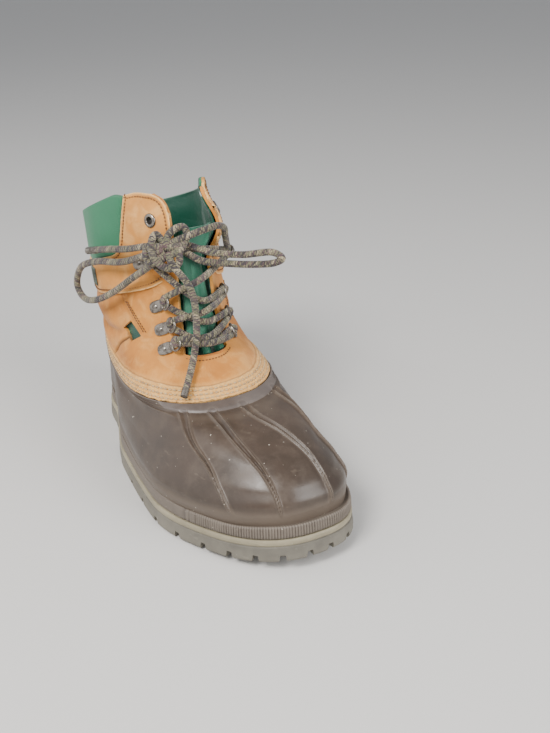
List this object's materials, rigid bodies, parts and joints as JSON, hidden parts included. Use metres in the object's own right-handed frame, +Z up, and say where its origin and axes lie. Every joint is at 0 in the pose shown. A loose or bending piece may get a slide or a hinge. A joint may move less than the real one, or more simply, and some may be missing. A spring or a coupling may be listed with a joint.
{
  "type": "pac boot",
  "caption": "Low winter pac boot for the right foot: lugged rubber bottom shell, laced leather upper with a green fabric collar panel and tongue.",
  "frame": {"origin": "on the floor under the middle of the boot's box, without the loose lace", "axes": "+X from heel to toe, +Y to the inner side of the foot, +Z up"},
  "size_m": [0.3062, 0.127, 0.208],
  "materials": {
    "outsole": "matte lugged rubber, grey-green, dusty",
    "strip": "grey-brown rubber, finely ribbed at the toe",
    "shell": "brown rubber, satin, dusty",
    "leather": "tan nubuck, worn",
    "cuff_leather": "tan nubuck, worn",
    "panel": "green woven nylon",
    "tongue_fabric": "green woven nylon",
    "patch_fabric": "green woven nylon",
    "insole_fabric": "dark grey felt",
    "webbing": "grey-green plain webbing",
    "lace": "round braided cord, speckled khaki and maroon",
    "nickel": "nickel-plated steel, worn"
  },
  "bodies": {
    "root": {"outsole": "outsole", "foxing_strip": "strip", "rubber_shell": "shell", "leather_upper": "leather", "cuff": "cuff_leather", "collar_panel": "panel", "tongue": "tongue_fabric", "flex_patch_outer": "patch_fabric", "flex_patch_inner": "patch_fabric", "insole": "insole_fabric", "side_tab": "webbing", "lace_crossings": "lace", "lace_bow": "lace", "clip_cuff_outer": "nickel", "clip_high_outer": "nickel", "clip_middle_outer": "nickel", "clip_low_outer": "nickel", "grommet_outer": "nickel", "clip_cuff_inner": "nickel", "clip_high_inner": "nickel", "clip_middle_inner": "nickel", "clip_low_inner": "nickel", "grommet_inner": "nickel"}
  },
  "joints": []
}
